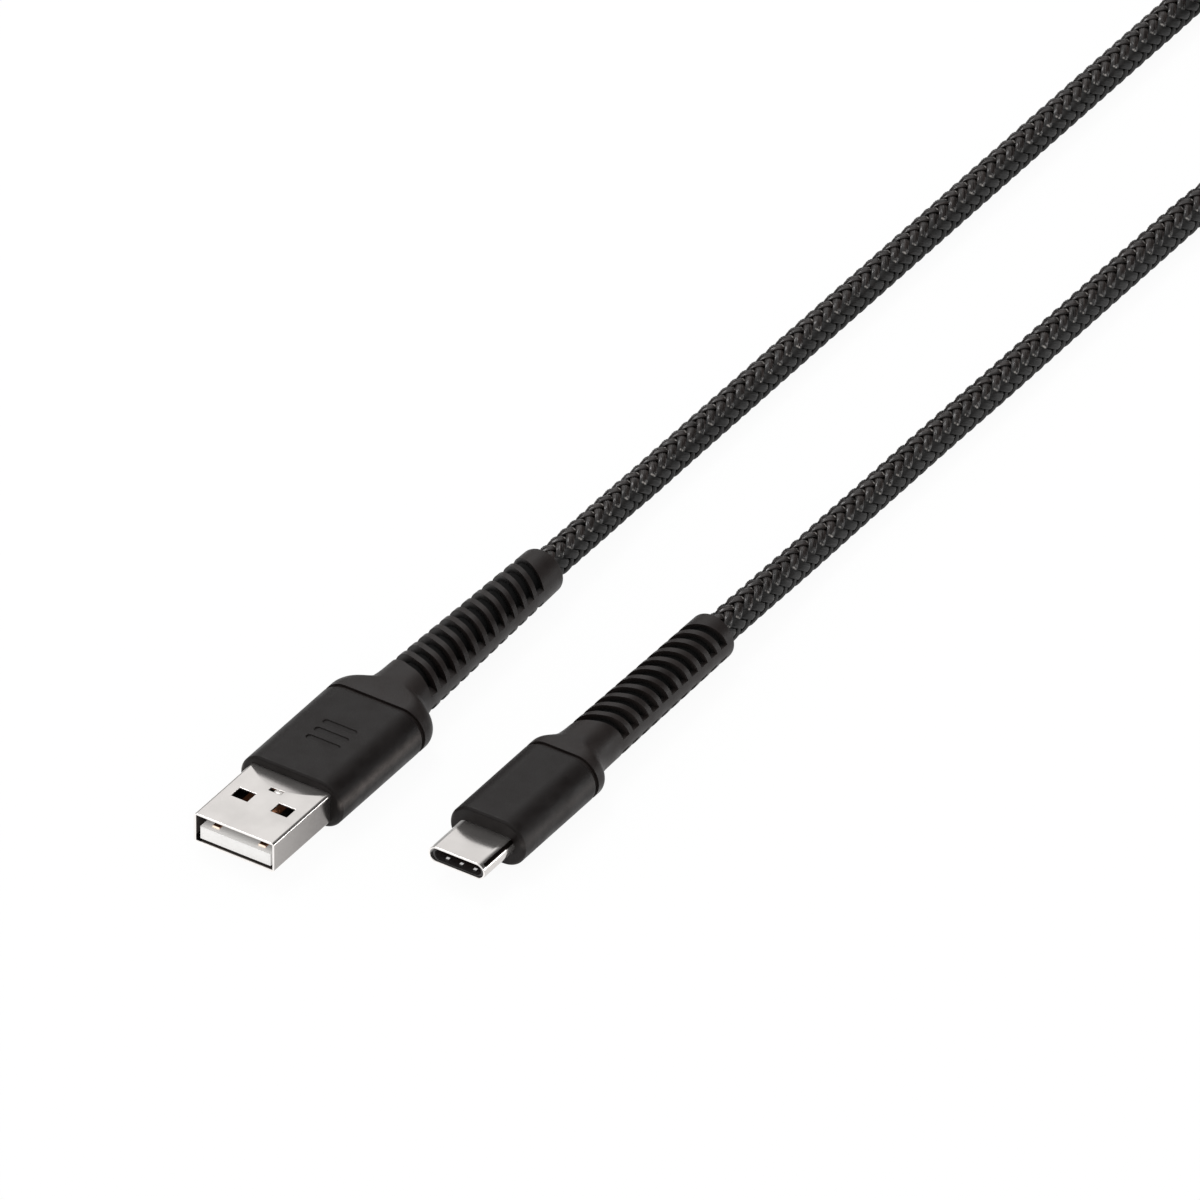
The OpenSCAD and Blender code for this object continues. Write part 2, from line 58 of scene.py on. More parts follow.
def lookAlong(piece, direction):
    # turns a camera or a lamp
    piece.rotation_mode = "QUATERNION"
    piece.rotation_quaternion = Vector(direction).to_track_quat("-Z", "Y")


cameraSettings = {
    "target": (-2.169, 33.341, 3.5),    # mm, the middle of the picture
    "azimuth": 33.69,
    "elevation": 36.2,
    "distance": 5.0,                    # metres, far off so that the view is nearly parallel
    "frameWidth": 0.1522,               # metres across the picture at the target
    "sensor": 36.0,
}


def makeCamera(s):
    a, e = math.radians(s["azimuth"]), math.radians(s["elevation"])
    back = Vector((math.sin(a) * math.cos(e), -math.cos(a) * math.cos(e), math.sin(e)))
    data = bpy.data.cameras.new("camera")
    data.sensor_width = s["sensor"]
    data.lens = s["sensor"] * s["distance"] / s["frameWidth"]
    camera = addObject("camera", data)
    camera.location = Vector(s["target"]) * mm + back * s["distance"]
    lookAlong(camera, -back)
    scene.camera = camera


makeCamera(cameraSettings)
print("camera placed")


# helpers for node trees; a value may be a number, a "#rrggbb" colour or another node's socket

def linear(code):
    # the linear colour that Blender works in
    parts = [int(code[i:i + 2], 16) / 255 for i in (1, 3, 5)]
    return [c / 12.92 if c <= 0.04045 else ((c + 0.055) / 1.055) ** 2.4 for c in parts] + [1.0]


def setInput(socket, value):
    if isinstance(value, bpy.types.NodeSocket):
        socket.id_data.links.new(value, socket)
    else:
        isCode = isinstance(value, str) and value.startswith("#")
        socket.default_value = linear(value) if isCode else value


def addNode(tree, kind, values=None, **settings):
    node = tree.nodes.new(kind)
    for name, value in settings.items():
        setattr(node, name, value)
    for key, value in (values or {}).items():
        setInput(node.inputs[key], value)
    return node


def addAfter(kind, values, **settings):
    # in the tree that the first socket among the values belongs to
    tree = next(v.id_data for v in values if isinstance(v, bpy.types.NodeSocket))
    return addNode(tree, kind, dict(enumerate(values)), **settings)


def calc(operation, *values):
    return addAfter("ShaderNodeMath", values, operation=operation).outputs[0]


def product(first, *others):
    for value in others:
        first = calc("MULTIPLY", first, value)
    return first


def vectorCalc(operation, *values):
    return addAfter("ShaderNodeVectorMath", values, operation=operation).outputs[0]


def scaled(vector, scale):
    node = addAfter("ShaderNodeVectorMath", [vector], operation="SCALE")
    setInput(node.inputs["Scale"], scale)
    return node.outputs[0]


def splitVector(vector):
    return addAfter("ShaderNodeSeparateXYZ", [vector]).outputs


# the braided cord; lengths in millimetres

cord = {
    "diameter": 4.4,          # over the braid
    "core": 3.4,              # jacket under it
    "sampleStep": 0.5,        # between the route's fine points
    "coilMiddle": (8, 224),
    "coilRadius": 29,
    "coilTurns": 4.5,
    "coilRings": 24,          # points in a turn
    "coilPitch": 5.0,         # from one turn or layer to the next
    "tableZ": 2.2,
    "exit": (-11.8, 34.8, 3.5),
    "coreSides": 12,
    "coreStep": 2,            # fine points for each ring of the core
    "coilTwist": -28,         # degrees that the cord turns about itself over the coil
    "twistFrom": 190,         # from either end of the cord to where that turn begins
}
leadARoute = [
    (-11.8, 34.8, 3.5), (-11.8, 41, 3.5), (-12, 47, 3.2), (-12.4, 53, 2.7), (-12.6, 59, 2.3),
    (-12.7, 65, 2.2), (-12.7, 77, 2.2), (-12.7, 89, 2.2), (-12.7, 101, 2.2), (-12.7, 113, 2.2),
    (-12.7, 125, 2.2), (-12.7, 137, 2.2), (-12.7, 149, 2.2), (-12.7, 161, 2.2), (-12.7, 173, 2.2),
    (-12.7, 185, 2.2), (-12.9, 191, 2.2), (-14.2, 197, 2.2), (-16.4, 203, 2.2), (-18.8, 209, 2.2),
    (-20.6, 214, 2.2), (-21, 217, 2.2), (-21, 219, 2.2)]
leadCRoute = [
    (37, 219, 7.2), (37, 216, 7.2), (36.8, 210, 6.4), (35.8, 204, 4.8), (33.8, 198, 3.1),
    (31.1, 192, 2.3), (27.9, 186, 2.2), (24.5, 180, 2.2), (21.2, 174, 2.2), (18.1, 168, 2.2),
    (15.7, 162, 2.2), (14, 156, 2.2), (13.3, 149, 2.2), (13.2, 137, 2.2), (13.2, 125, 2.2),
    (13.2, 113, 2.2), (13.2, 101, 2.2), (13.1, 89, 2.2), (13.1, 77, 2.2), (13.1, 65, 2.2),
    (13.2, 59, 2.3), (13.4, 53, 2.6), (13.7, 47, 3.1), (13.9, 41.4, 3.4), (13.9, 35.2, 3.4)]


def smoothStep(x):
    return x * x * (3 - 2 * x)


def coilPoint(turn):
    # inwards for half of the turns, then outwards one layer higher
    fromMiddle = turn - cord["coilTurns"] / 2
    radius = cord["coilRadius"] - cord["coilPitch"] * (cord["coilTurns"] / 2 - abs(fromMiddle))
    rise = min(1, max(0, 2 * fromMiddle + 0.5))
    z = cord["tableZ"] + cord["coilPitch"] * smoothStep(rise)
    angle = 2 * math.pi * turn
    x0, y0 = cord["coilMiddle"]
    return (x0 - radius * math.cos(angle), y0 + radius * math.sin(angle), z)


def between(u, low, high, a, b):
    # from a at u = low to b at u = high
    return ((high - u) * a + (u - low) * b) / (high - low)


def smoothLine(points, step):
    # a centripetal spline through the points, then evenly spaced along its length
    p = np.array(points, float)
    p = np.vstack([2 * p[0] - p[1], p, 2 * p[-1] - p[-2]])
    fine = []
    for i in range(1, len(p) - 2):
        k = [0.0]
        for j in range(3):
            k.append(k[-1] + np.linalg.norm(p[i + j] - p[i - 1 + j]) ** 0.5)
        for u in np.linspace(k[1], k[2], 24, endpoint=False):
            a = [between(u, k[j], k[j + 1], p[i - 1 + j], p[i + j]) for j in range(3)]
            b = [between(u, k[j], k[j + 2], a[j], a[j + 1]) for j in range(2)]
            fine.append(between(u, k[1], k[2], b[0], b[1]))
    fine.append(p[-2])
    fine = np.array(fine)
    along = np.concatenate([[0], np.cumsum(np.linalg.norm(np.diff(fine, axis=0), axis=1))])
    at = np.linspace(0, along[-1], int(round(along[-1] / step)) + 1)
    return np.stack([np.interp(at, along, fine[:, c]) for c in range(3)], 1), at


def carriedFrames(line, at, twist):
    # side and up vectors carried along the line, with a smooth extra turn in its middle part
    ahead = np.gradient(line, axis=0)
    ahead /= np.linalg.norm(ahead, axis=1)[:, None]
    side = np.zeros_like(line)
    side[0] = np.cross(ahead[0], (0, 0, 1))
    side[0] /= np.linalg.norm(side[0])
    for i in range(1, len(line)):
        s = side[i - 1] - ahead[i] * np.dot(side[i - 1], ahead[i])
        side[i] = s / np.linalg.norm(s)
    up = np.cross(side, ahead)
    share = np.clip((at - cord["twistFrom"]) / (at[-1] - 2 * cord["twistFrom"]), 0, 1)
    angle = np.radians(twist) * smoothStep(share)
    cosine, sine = np.cos(angle)[:, None], np.sin(angle)[:, None]
    return side * cosine + up * sine, up * cosine - side * sine


def cordRoute():
    steps = int(cord["coilTurns"] * cord["coilRings"])
    rings = [coilPoint(i / cord["coilRings"]) for i in range(steps + 1)]
    return leadARoute[:-1] + rings + leadCRoute[1:]


routeLine, routeAlong = smoothLine(cordRoute(), cord["sampleStep"])
routeSide, routeUp = carriedFrames(routeLine, routeAlong, cord["coilTwist"])
cordLength = routeAlong[-1]
print("cord route", round(cordLength, 1), "mm")

braid = {
    "carriers": 8,            # yarns of each hand
    "lay": 18.0,              # along the cord for one turn of a yarn
    "meanRadius": 1.65,       # a yarn's middle, between its passes over and under
    "wave": 0.29,             # how far it swings out and in
    "flatten": 0.45,          # 0 swings like a plain wave, more has flatter tops and quicker dives
    "yarnWidth": 1.2,
    "yarnThickness": 0.68,
    "backSteps": 12,          # points across the yarn's back
    "furrows": (3, 5, 7, 9),  # which of them lie deeper, between the yarn's plies
    "ridge": 0.05,            # depth of those furrows
    "belly": ((0.28, -0.42), (0.0, -0.5), (-0.28, -0.42)),    # in widths and thicknesses
    "startTurn": 0.158,       # turns, sets where the chevrons point
    "nearStep": 0.32,         # between a yarn's rings on the leads
    "farStep": 0.55,          # and in the coil
    "leadLength": 152.0,      # of each lead with the finer rings
}


def routeObject(name, start, end, step):
    # the stretch of the route as an edge line that carries its frame for the tree
    count = int(round((end - start) / step)) + 1
    at = np.linspace(start, end, count)

    def pick(table):
        return np.stack([np.interp(at, routeAlong, table[:, c]) for c in range(3)], 1)

    edges = [(i, i + 1) for i in range(count - 1)]
    piece = addMesh(name, (pick(routeLine) * mm).tolist(), edges, [])
    layers = piece.data.attributes
    for label, values in (("side", pick(routeSide)), ("up", pick(routeUp))):
        values = values / np.linalg.norm(values, axis=1)[:, None]
        layers.new(label, "FLOAT_VECTOR", "POINT").data.foreach_set("vector", values.ravel())
    layers.new("distance", "FLOAT", "POINT").data.foreach_set("value", at * mm)
    return piece


def yarnProfile():
    # outline of a flat yarn: a domed back with furrows between its plies, and a nearly flat belly
    width, thick = braid["yarnWidth"], braid["yarnThickness"]
    outline = []
    for i in range(braid["backSteps"] + 1):
        u = -math.cos(math.pi * i / braid["backSteps"])
        dome = max(0.0, 1 - u * u) ** 0.5
        furrow = braid["ridge"] if i in braid["furrows"] else 0
        outline.append((dome * thick * 0.5 - furrow, u * 0.5 * width, 0))
    outline += [(v * thick, u * width, 0) for u, v in braid["belly"]]
    count = len(outline)
    edges = [(i, (i + 1) % count) for i in range(count)]
    return addMesh("yarnProfile", [tuple(c * mm for c in p) for p in outline], edges, [])


def braidTree():
    tree = bpy.data.node_groups.new("braidYarns", "GeometryNodeTree")
    face = tree.interface
    for label, kind in (("Geometry", "Geometry"), ("Carriers", "Int"), ("Lay", "Float"),
                        ("Mean Radius", "Float"), ("Wave", "Float"), ("Hand", "Float"),
                        ("Start Turn", "Float"), ("Profile", "Object"), ("Material", "Material")):
        face.new_socket(label, in_out="INPUT", socket_type="NodeSocket" + kind)
    face.new_socket("Geometry", in_out="OUTPUT", socket_type="NodeSocketGeometry")
    given = tree.nodes.new("NodeGroupInput").outputs
    result = tree.nodes.new("NodeGroupOutput")

    def node(kind, values=None, **settings):
        return addNode(tree, "GeometryNode" + kind, values, **settings).outputs[0]

    def named(label, kind="FLOAT_VECTOR"):
        return node("InputNamedAttribute", {"Name": label}, data_type=kind)

    def keep(geometry, label, value, kind="FLOAT"):
        values = {"Geometry": geometry, "Name": label, "Value": value}
        return node("StoreNamedAttribute", values, data_type=kind, domain="POINT")

    line = node("MeshToCurve", {"Mesh": given["Geometry"]})
    copies = addNode(tree, "GeometryNodeDuplicateElements",
                     {"Geometry": line, "Amount": given["Carriers"]}, domain="SPLINE").outputs
    index = copies["Duplicate Index"]
    distance = named("distance", "FLOAT")
    turns = calc("DIVIDE", distance, given["Lay"])
    share = calc("DIVIDE", index, given["Carriers"])
    turned = calc("MULTIPLY_ADD", turns, given["Hand"], share)
    angle = product(calc("ADD", turned, given["Start Turn"]), 2 * math.pi)
    outward = vectorCalc("ADD", scaled(named("side"), calc("COSINE", angle)),
                         scaled(named("up"), calc("SINE", angle)))

    # each yarn passes over two of the other hand and under two; the hands take turns
    crossings = product(turns, product(given["Carriers"], 2.0))
    step = calc("MULTIPLY_ADD", product(index, 2.0), given["Hand"], crossings)
    start = calc("MULTIPLY_ADD", given["Hand"], -1.5, 1.0)    # -0.5 and 2.5
    phase = product(calc("ADD", step, start), math.pi / 2)
    beat = calc("COSINE", phase)
    bulge = calc("SUBTRACT", 1 + braid["flatten"], product(beat, beat, braid["flatten"]))
    swing = product(beat, bulge)
    radius = calc("MULTIPLY_ADD", swing, given["Wave"], given["Mean Radius"])

    # which way the yarn dives, seen from above, so that only one end of each pass glints
    pastHalf = calc("GREATER_THAN", distance, 0.5 * cordLength * mm)
    dive = product(calc("SINE", phase), given["Hand"], calc("MULTIPLY_ADD", pastHalf, 2.0, -1.0))

    yarns = node("SetPosition", {"Geometry": copies[0], "Offset": scaled(outward, radius)})
    yarns = keep(yarns, "outward", outward, "FLOAT_VECTOR")
    yarns = keep(yarns, "swing", swing)
    yarns = keep(yarns, "dive", dive)
    yarns = keep(yarns, "yarnNumber", calc("MULTIPLY_ADD", given["Hand"], 0.37, index))
    yarns = node("SetCurveNormal", {"Curve": yarns, "Normal": named("outward")}, mode="FREE")
    shape = addNode(tree, "GeometryNodeObjectInfo", {"Object": given["Profile"]}).outputs
    outline = node("MeshToCurve", {"Mesh": shape["Geometry"]})
    across = keep(outline, "across", node("InputPosition"), "FLOAT_VECTOR")
    yarns = node("CurveToMesh", {"Curve": yarns, "Profile Curve": across, "Fill Caps": True})
    yarns = node("SetShadeSmooth", {"Geometry": yarns})
    yarns = node("RealizeInstances", {"Geometry": yarns})
    yarns = node("SetMaterial", {"Geometry": yarns, "Material": given["Material"]})
    setInput(result.inputs[0], yarns)
    return tree


def evaluatedMesh(piece):
    graph = bpy.context.evaluated_depsgraph_get()
    return bpy.data.meshes.new_from_object(piece.evaluated_get(graph))


def meshFromModifier(piece, name, tree, values):
    # evaluates the tree on the piece and keeps the result as a plain mesh
    modifier = piece.modifiers.new("shape", "NODES")
    modifier.node_group = tree
    sockets = {s.name: s.identifier for s in tree.interface.items_tree
               if s.item_type == "SOCKET" and s.in_out == "INPUT"}
    for label, value in values.items():
        modifier[sockets[label]] = value
    mesh = evaluatedMesh(piece)
    mesh.name = name
    bpy.data.objects.remove(piece)
    return addObject(name, mesh)


# helpers for materials

def emptyTree(owner, outputKind):
    # the tree of a material or a world, and the input of its output
    owner.use_nodes = True
    tree = owner.node_tree
    tree.nodes.clear()
    return tree, tree.nodes.new(outputKind).inputs[0]


def newMaterial(name):
    material = bpy.data.materials.new(name)
    tree, surface = emptyTree(material, "ShaderNodeOutputMaterial")
    shader = tree.nodes.new("ShaderNodeBsdfPrincipled")
    setInput(surface, shader.outputs[0])
    return material, tree, shader


def mixColour(factor, a, b):
    mix = addNode(factor.id_data, "ShaderNodeMix", {0: factor, 6: a, 7: b}, data_type="RGBA")
    return mix.outputs[2]


def remap(value, low, high, toLow=0.0, toHigh=1.0):
    return addAfter("ShaderNodeMapRange", (value, low, high, toLow, toHigh)).outputs[0]


def placeInMm(tree, origin=(0, 0, 0)):
    # x, y and z of the shaded point in millimetres, counted from the origin
    place = addNode(tree, "ShaderNodeTexCoord").outputs["Object"]
    place = vectorCalc("SUBTRACT", place, tuple(c * mm for c in origin))
    return splitVector(scaled(place, 1000.0))


def buildGrain():
    # fine moulded grain: speckle, slow blotches and a height
    group = bpy.data.node_groups.new("mouldedGrain", "ShaderNodeTree")
    for label in ("Size", "Blotch Size"):
        group.interface.new_socket(label, in_out="INPUT", socket_type="NodeSocketFloat")
    for label in ("Speckle", "Blotch", "Height"):
        group.interface.new_socket(label, in_out="OUTPUT", socket_type="NodeSocketFloat")
    given = group.nodes.new("NodeGroupInput").outputs
    result = group.nodes.new("NodeGroupOutput").inputs
    place = scaled(addNode(group, "ShaderNodeTexCoord").outputs["Object"], 1000.0)
    fine = addNode(group, "ShaderNodeTexNoise", {
        "Vector": place, "Scale": calc("DIVIDE", 1.0, given["Size"]),
        "Detail": 4.0, "Roughness": 0.62})
    slow = addNode(group, "ShaderNodeTexNoise", {
        "Vector": place, "Scale": calc("DIVIDE", 1.0, given["Blotch Size"]), "Detail": 2.0})
    pits = addNode(group, "ShaderNodeTexVoronoi", {
        "Vector": place, "Scale": calc("DIVIDE", 0.8, given["Size"])})
    speckle = fine.outputs["Fac"]
    height = calc("MULTIPLY_ADD", pits.outputs["Distance"], 0.5, speckle)
    for label, value in (("Speckle", speckle), ("Blotch", slow.outputs["Fac"]), ("Height", height)):
        setInput(result[label], value)
    return group


grainGroup = buildGrain()


def grainAt(tree, size, blotchSize):
    values = {"Size": size, "Blotch Size": blotchSize}
    return addNode(tree, "ShaderNodeGroup", values, node_tree=grainGroup).outputs


def grainMix(grain, speckleShare):
    return calc("ADD", product(grain["Speckle"], speckleShare),
                product(grain["Blotch"], 1 - speckleShare))


def mouldedSkin(grain, dark, light):
    return mixColour(remap(grainMix(grain, 0.5), 0.35, 0.65), dark, light)


def dress(shader, colour, roughness, metallic=0.0, specular=0.5, glow=None):
    setInput(shader.inputs["Base Color"], colour)
    setInput(shader.inputs["Roughness"], roughness)
    shader.inputs["Metallic"].default_value = metallic
    shader.inputs["Specular IOR Level"].default_value = specular
    if glow is not None:
        setInput(shader.inputs["Emission Color"], glow)
        shader.inputs["Emission Strength"].default_value = 1.0


def emboss(shader, height, depth, strength=1.0):
    # depth in millimetres for a height of 1
    values = {"Distance": depth * mm, "Strength": strength, "Height": height}
    bump = addNode(height.id_data, "ShaderNodeBump", values)
    setInput(shader.inputs["Normal"], bump.outputs[0])


def mouldedMaterial(name, dark, light, roughness, bump=0.02, specular=0.5):
    material, tree, shader = newMaterial(name)
    grain = grainAt(tree, 0.16, 2.5)
    rough = remap(grain["Blotch"], 0.3, 0.7, roughness - 0.08, roughness + 0.08)
    dress(shader, mouldedSkin(grain, dark, light), rough, specular=specular)
    emboss(shader, grain["Height"], bump)
    return material


def metalMaterial(name, dark, light, roughness, spread=0.05, bump=0.002, grainSize=0.25):
    material, tree, shader = newMaterial(name)
    grain = grainAt(tree, grainSize, 4.0)
    tone = mixColour(remap(grain["Blotch"], 0.35, 0.65), dark, light)
    rough = remap(grain["Speckle"], 0.35, 0.65, roughness - spread, roughness + spread)
    dress(shader, tone, rough, metallic=1.0)
    emboss(shader, grain["Speckle"], bump)
    return material


# the pieces that keep their solid get these by the material that the solid names
finishes = {
    "head_plastic": mouldedMaterial("headPlastic", "#130f0e", "#1b1716", 0.48, 0.014, 0.21),
    "relief_elastomer": mouldedMaterial("reliefElastomer", "#181615", "#201e1d", 0.5, 0.016, 0.25),
    "black_insulator": mouldedMaterial("blackInsulator", "#2b2929", "#383535", 0.45, 0.01),
    "inner_mould_plastic": mouldedMaterial("innerMould", "#b8b4a8", "#cbc7ba", 0.5),
    "circuit_board": mouldedMaterial("circuitBoard", "#0f3d22", "#18522f", 0.4),
    "resistor_body": mouldedMaterial("resistorBody", "#101010", "#1c1c1c", 0.4),
    "red_wire_insulation": mouldedMaterial("redWire", "#a01a16", "#b8241e", 0.4, 0.005),
    "white_wire_insulation": mouldedMaterial("whiteWire", "#d8d6d0", "#eae8e2", 0.4, 0.005),
    "green_wire_insulation": mouldedMaterial("greenWire", "#14702e", "#1d8a3b", 0.4, 0.005),
    "black_wire_insulation": mouldedMaterial("blackWire", "#141414", "#202020", 0.4, 0.005),
    "plug_shell": metalMaterial("plugShell", "#d2cecb", "#dcd8d5", 0.2, 0.03, 0.0005, 0.18),
    "spring_steel": metalMaterial("springSheet", "#b9b6b2", "#cfccc8", 0.3),
    "tinned_steel": metalMaterial("tinnedSteel", "#a9a6a2", "#bcb9b4", 0.35),
    "braided_cord": mouldedMaterial("cordJacket", "#0c0b0b", "#141212", 0.6),
}

yarnLook = {
    "filament": ("#070605", "#352f2d"),     # darkest and lightest, on top of the cord
    "paintedUndersideShade": "#0b0908",                 # painted shade: the lightest tone where the cord faces the table
    "deep": "#030303",                      # painted shade where a yarn passes under
    "glint": (0.26, 0.245, 0.23, 1),        # painted light at one end of each pass
    "gloss": (0.3, 0.15),                   # roughness between and on the filaments
    "undersideRoughness": 0.36,             # more where the cord faces the table
    "filamentDepth": 0.1,
}


def yarnMaterial(look):
    material, tree, shader = newMaterial("braidedYarn")

    def attribute(name, output="Fac"):
        return addNode(tree, "ShaderNodeAttribute", attribute_name=name).outputs[output]

    swing = attribute("swing")
    across = splitVector(attribute("across", "Vector"))["Y"]
    up = splitVector(attribute("outward", "Vector"))["Z"]
    # filaments: fine lines that run along the yarn and drift slowly across it
    place = addAfter("ShaderNodeCombineXYZ", (
        product(across, 4200.0), product(attribute("distance"), 260.0),
        product(attribute("yarnNumber"), 7.31)))
    lines = addNode(tree, "ShaderNodeTexNoise", {
        "Vector": place.outputs[0], "Scale": 1.0, "Detail": 3.0, "Roughness": 0.6}).outputs["Fac"]
    darkest, lightest = (linear(code) for code in look["filament"])
    # painted shade: the lightest tone falls to a darker one where the cord faces the table
    shadedByFacing = mixColour(remap(up, 0.5, 0.95), look["paintedUndersideShade"], lightest)
    tone = mixColour(remap(lines, 0.3, 0.7), darkest, shadedByFacing)
    # painted shade where a yarn dives under the others
    tone = mixColour(remap(swing, -0.2, 0.75), look["deep"], tone)
    band = product(remap(swing, 0.05, 0.2), remap(swing, 0.5, 0.35),
                   remap(attribute("dive"), 0.2, 0.5),
                   remap(calc("ABSOLUTE", across), 0.4 * mm, 0.25 * mm),
                   remap(lines, 0.42, 0.6))
    rough = calc("ADD", remap(lines, 0.3, 0.7, *look["gloss"]),
                 remap(up, 0.85, 0.45, 0.0, look["undersideRoughness"]))
    dress(shader, tone, rough, glow=mixColour(band, "#000000", look["glint"]))
    emboss(shader, lines, look["filamentDepth"], 0.9)
    return material


contactLook = {
    # the gold carries a faint painted glow, and the cut ends a painted highlight
    "gold": ("#8a5a40", "#b07c5a"), "goldGlow": (0.02, 0.008, 0.004, 1),
    "cutEnd": "#f0d2bd", "cutEndGlow": (0.72, 0.6, 0.5, 1),
    "cutEndTo": 1.15,               # mm behind the mouth
    "roughness": (0.16, 0.26),
}
springLook = {
    "steel": ("#b9b6b2", "#d8d5d1"),
    "tipFrom": 2.7,                 # mm above the table
    "tipGlow": (0.62, 0.62, 0.62, 1),
    "roughness": (0.2, 0.34),
}
tongueLook = {
    "plastic": ("#efedeb", "#f8f7f5"), "shaded": "#1f1c1b",
    "shade": (0.7, 3.7),            # mm behind the mouth between which it falls into shade
    "frontGlow": (0.04, 0.039, 0.038, 1), "topGlow": (0.3, 0.29, 0.28, 1),
    "topFrom": 0.32,                # mm behind the mouth
    "roughness": (0.34, 0.44),
    "edge": 0.06,                   # mm, bevel
}


def contactMaterial(look, mouth):
    # light is painted on the cut ends at the mouth, and a faint painted glow on the gold behind them
    material, tree, shader = newMaterial("goldContact")
    grain = grainAt(tree, 0.12, 1.0)
    y = placeInMm(tree, mouth)[1]
    inward = remap(y, look["cutEndTo"], look["cutEndTo"] + 0.05)
    gold = mixColour(grain["Blotch"], *look["gold"])
    dress(shader, mixColour(inward, look["cutEnd"], gold),
          remap(grain["Speckle"], 0.3, 0.7, *look["roughness"]), metallic=1.0,
          glow=mixColour(inward, look["cutEndGlow"], look["goldGlow"]))
    return material


def springMaterial(look):
    # light is painted on the tips
    material, tree, shader = newMaterial("springSteel")
    grain = grainAt(tree, 0.12, 1.0)
    z = placeInMm(tree)[2]
    tip = remap(z, look["tipFrom"], look["tipFrom"] + 0.025)
    dress(shader, mixColour(grain["Blotch"], *look["steel"]),
          remap(grain["Speckle"], 0.3, 0.7, *look["roughness"]), metallic=1.0,
          glow=mixColour(tip, "#000000", look["tipGlow"]))
    return material


def tongueMaterial(look, mouth):
    # light is painted at the mouth, and shade further in
    material, tree, shader = newMaterial("whiteInsulator")
    grain = grainAt(tree, 0.2, 2.5)
    y = placeInMm(tree, mouth)[1]
    inward = remap(y, *look["shade"])
    top = remap(y, look["topFrom"], look["topFrom"] + 0.06)
    lit = mixColour(grain["Blotch"], *look["plastic"])
    glow = mixColour(top, look["frontGlow"], look["topGlow"])
    dress(shader, mixColour(inward, lit, look["shaded"]),
          remap(grain["Speckle"], 0.3, 0.7, *look["roughness"]),
          glow=mixColour(inward, glow, "#000000"))
    return material


def setMaterials(nodeName, material=None):
    # the given material, or the one that goes with the solid's own
    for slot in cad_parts[nodeName].material_slots:
        slot.material = material or finishes[slot.material.name.split(".")[0]]


usbAMouth = (-11.8, -35.2, 3.5)    # mm, the middle of the USB-A shell's front end
finishes["white_insulator"] = tongueMaterial(tongueLook, usbAMouth)
finishes["gold_contact"] = contactMaterial(contactLook, usbAMouth)
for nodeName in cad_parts:
    setMaterials(nodeName)
setMaterials("usb_c_lower_ground_spring", springMaterial(springLook))
print("materials made")


# cord pieces

def tubePiece(name, line, side, up, radius, sides):
    angles = 2 * math.pi * np.arange(sides) / sides
    corners = (line[:, None] + radius * (np.cos(angles)[None, :, None] * side[:, None]
                                         + np.sin(angles)[None, :, None] * up[:, None])) * mm
    faces = []
    for i in range(len(line) - 1):
        for k in range(sides):
            a, b = i * sides + k, i * sides + (k + 1) % sides
            faces.append((a, a + sides, b + sides, b))
    last = (len(line) - 1) * sides
    faces.append(tuple(range(sides)))
    faces.append(tuple(last + k for k in reversed(range(sides))))
    piece = addMesh(name, corners.reshape(-1, 3).tolist(), [], faces)
    piece.data.polygons.foreach_set("use_smooth", [True] * len(faces))
    return piece


def makeCord():
    step = cord["coreStep"]
    core = tubePiece("cordCore", routeLine[::step], routeSide[::step], routeUp[::step],
                     cord["core"] / 2, cord["coreSides"])
    core.data.materials.append(finishes["braided_cord"])
    profile = yarnProfile()
    tree = braidTree()
    finish = yarnMaterial(yarnLook)
    lead = braid["leadLength"]
    third = (cordLength - 2 * lead) / 3
    stretches = [("LeadA", 0, lead, braid["nearStep"]),
                 ("CoilA", lead, lead + third, braid["farStep"]),
                 ("CoilB", lead + third, lead + 2 * third, braid["farStep"]),
                 ("CoilC", lead + 2 * third, cordLength - lead, braid["farStep"]),
                 ("LeadC", cordLength - lead, cordLength, braid["nearStep"])]
    yarns = []
    for label, start, end, ringStep in stretches:
        for hand, handName in ((1.0, "Right"), (-1.0, "Left")):
            route = routeObject("route", start, end, ringStep)
            yarns.append(meshFromModifier(route, "yarns" + label + handName, tree, {
                "Carriers": braid["carriers"], "Lay": braid["lay"] * mm,
                "Mean Radius": braid["meanRadius"] * mm, "Wave": braid["wave"] * mm, "Hand": hand,
                "Start Turn": braid["startTurn"], "Profile": profile, "Material": finish}))
    bpy.data.objects.remove(profile)
    for piece in yarns:
        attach(piece, "root")
        print(piece.name, len(piece.data.polygons))
    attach(core, "root")
    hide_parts("cord_lead_a", "cord_coil", "cord_lead_c")


makeCord()
print("cord braided")


# helpers for the rigid pieces, which are built in millimetres along y

def pieceFromBmesh(name, mesh):
    bmesh.ops.recalc_face_normals(mesh, faces=mesh.faces)
    data = bpy.data.meshes.new(name)
    mesh.to_mesh(data)
    mesh.free()
    return addObject(name, data)


def stadiumRing(y, halfW, halfH, sides):
    ring = []
    for k in range(sides):
        a = 2 * math.pi * (k + 0.5) / sides
        shift = max(0.0, halfW - halfH) * (1 if math.cos(a) > 0 else -1)
        ring.append((shift + min(halfW, halfH) * math.cos(a), y, halfH * math.sin(a)))
    return ring


def loftPiece(name, rings):
    # closed skin through the rings, with flat ends
    mesh = bmesh.new()
    rows = [[mesh.verts.new(c) for c in ring] for ring in rings]
    n = len(rows[0])
    for a, b in zip(rows, rows[1:]):
        for k in range(n):
            mesh.faces.new((a[k], a[(k + 1) % n], b[(k + 1) % n], b[k]))
    mesh.faces.new(rows[0][::-1])
    mesh.faces.new(rows[-1])
    return pieceFromBmesh(name, mesh)


